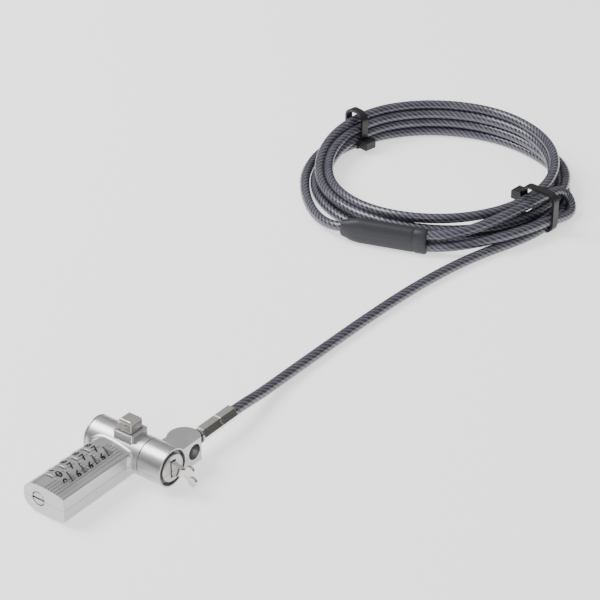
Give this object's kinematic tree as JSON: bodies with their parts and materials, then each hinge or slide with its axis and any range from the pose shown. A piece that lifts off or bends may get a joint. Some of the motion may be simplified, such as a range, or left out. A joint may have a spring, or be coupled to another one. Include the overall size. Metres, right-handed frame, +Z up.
{
  "type": "laptop cable lock",
  "caption": "Combination cable lock for a laptop: number wheels in a die-cast barrel, push button, scissor T-bar nose, swivel collar and a coiled steel cable with a looped end.",
  "frame": {"origin": "centre of the nose face, on the axis of the T-bar", "axes": "-Y out of the nose into the laptop, +X along the number barrel towards the cable, +Z up through the push button"},
  "size_m": [0.3434, 0.1249, 0.021],
  "materials": {
    "body": "satin silver plated die-casting",
    "steel": "plain bright steel",
    "bright": "polished nickel plate",
    "wheel": "satin silver with black filled numbers",
    "brass_cam": "plain machined",
    "cable": "smoky vinyl coat over stranded steel",
    "sleeve": "moulded satin",
    "nylon": "black nylon"
  },
  "bodies": {
    "housing": {"upper_shell": "body", "lower_shell": "body", "rear_cap": "body", "retaining_ring": "steel", "click_spring": "steel", "frame_pin": "steel", "shell_screws": "steel", "hook_pin": "steel", "button_spring": "steel"},
    "wheel_1": {"dial_wheel_1": "wheel", "code_cam_1": "brass_cam"},
    "wheel_2": {"dial_wheel_2": "wheel", "code_cam_2": "brass_cam"},
    "wheel_3": {"dial_wheel_3": "wheel", "code_cam_3": "brass_cam"},
    "wheel_4": {"dial_wheel_4": "wheel", "code_cam_4": "brass_cam"},
    "button": {"push_button": "bright"},
    "actuator_bar": {"actuator": "steel"},
    "shaft": {"dial_shaft": "steel"},
    "hook_a": {"hook_upper": "steel"},
    "hook_b": {"hook_lower": "steel"},
    "reset": {"reset_screw": "steel"},
    "collar": {"swivel_collar": "body"},
    "cable": {"swivel_stem": "steel", "stem_washer": "steel", "ferrule": "bright", "cable_run": "cable", "cable_coil": "cable", "cable_tail": "cable", "cable_eye": "cable", "eye_sleeve": "sleeve", "tie_left": "nylon", "tie_right": "nylon"}
  },
  "joints": [
    {"name": "wheel_1_turn", "type": "hinge", "parent": "housing", "child": "wheel_1", "pos_m": [-0.03215, 0.0262, -0.0006], "axis": [1, 0, 0], "continuous": true},
    {"name": "wheel_2_turn", "type": "hinge", "parent": "housing", "child": "wheel_2", "pos_m": [-0.02585, 0.0262, -0.0006], "axis": [1, 0, 0], "continuous": true},
    {"name": "wheel_3_turn", "type": "hinge", "parent": "housing", "child": "wheel_3", "pos_m": [-0.01955, 0.0262, -0.0006], "axis": [1, 0, 0], "continuous": true},
    {"name": "wheel_4_turn", "type": "hinge", "parent": "housing", "child": "wheel_4", "pos_m": [-0.01325, 0.0262, -0.0006], "axis": [1, 0, 0], "continuous": true},
    {"name": "button_press", "type": "slide", "parent": "housing", "child": "button", "axis": [0, 0, -1], "range_m": [0, 0.0018], "stiffness_N_per_m": 300, "springref_m": -0.003, "deforming": ["button_spring"]},
    {"name": "actuator_slide", "type": "slide", "parent": "housing", "child": "actuator_bar", "axis": [0, -1, 0], "range_m": [0, 0.0018]},
    {"name": "shaft_slide", "type": "slide", "parent": "housing", "child": "shaft", "axis": [-1, 0, 0], "range_m": [0, 0.0018]},
    {"name": "hook_upper_turn", "type": "hinge", "parent": "housing", "child": "hook_a", "pos_m": [0, 0.0052, 0], "axis": [1, 0, 0], "range_deg": [0, 8.5]},
    {"name": "hook_lower_turn", "type": "hinge", "parent": "housing", "child": "hook_b", "pos_m": [0, 0.0052, 0], "axis": [1, 0, 0], "range_deg": [-8.5, 0]},
    {"name": "reset_turn", "type": "hinge", "parent": "housing", "child": "reset", "pos_m": [-0.039, 0.0262, -0.0006], "axis": [1, 0, 0], "range_deg": [0, 90]},
    {"name": "collar_swivel", "type": "hinge", "parent": "housing", "child": "collar", "pos_m": [0, 0.006, 0], "axis": [0, 1, 0], "continuous": true},
    {"name": "stem_spin", "type": "hinge", "parent": "collar", "child": "cable", "pos_m": [0.0121, 0.0056, 0], "axis": [1, 0, 0], "continuous": true}
  ],
  "couplings": [
    {"joint": "actuator_slide", "follows": "button_press", "ratio": 1},
    {"joint": "shaft_slide", "follows": "button_press", "ratio": 1},
    {"joint": "hook_upper_turn", "follows": "button_press", "rad_per_m": 77},
    {"joint": "hook_lower_turn", "follows": "button_press", "rad_per_m": -77}
  ]
}
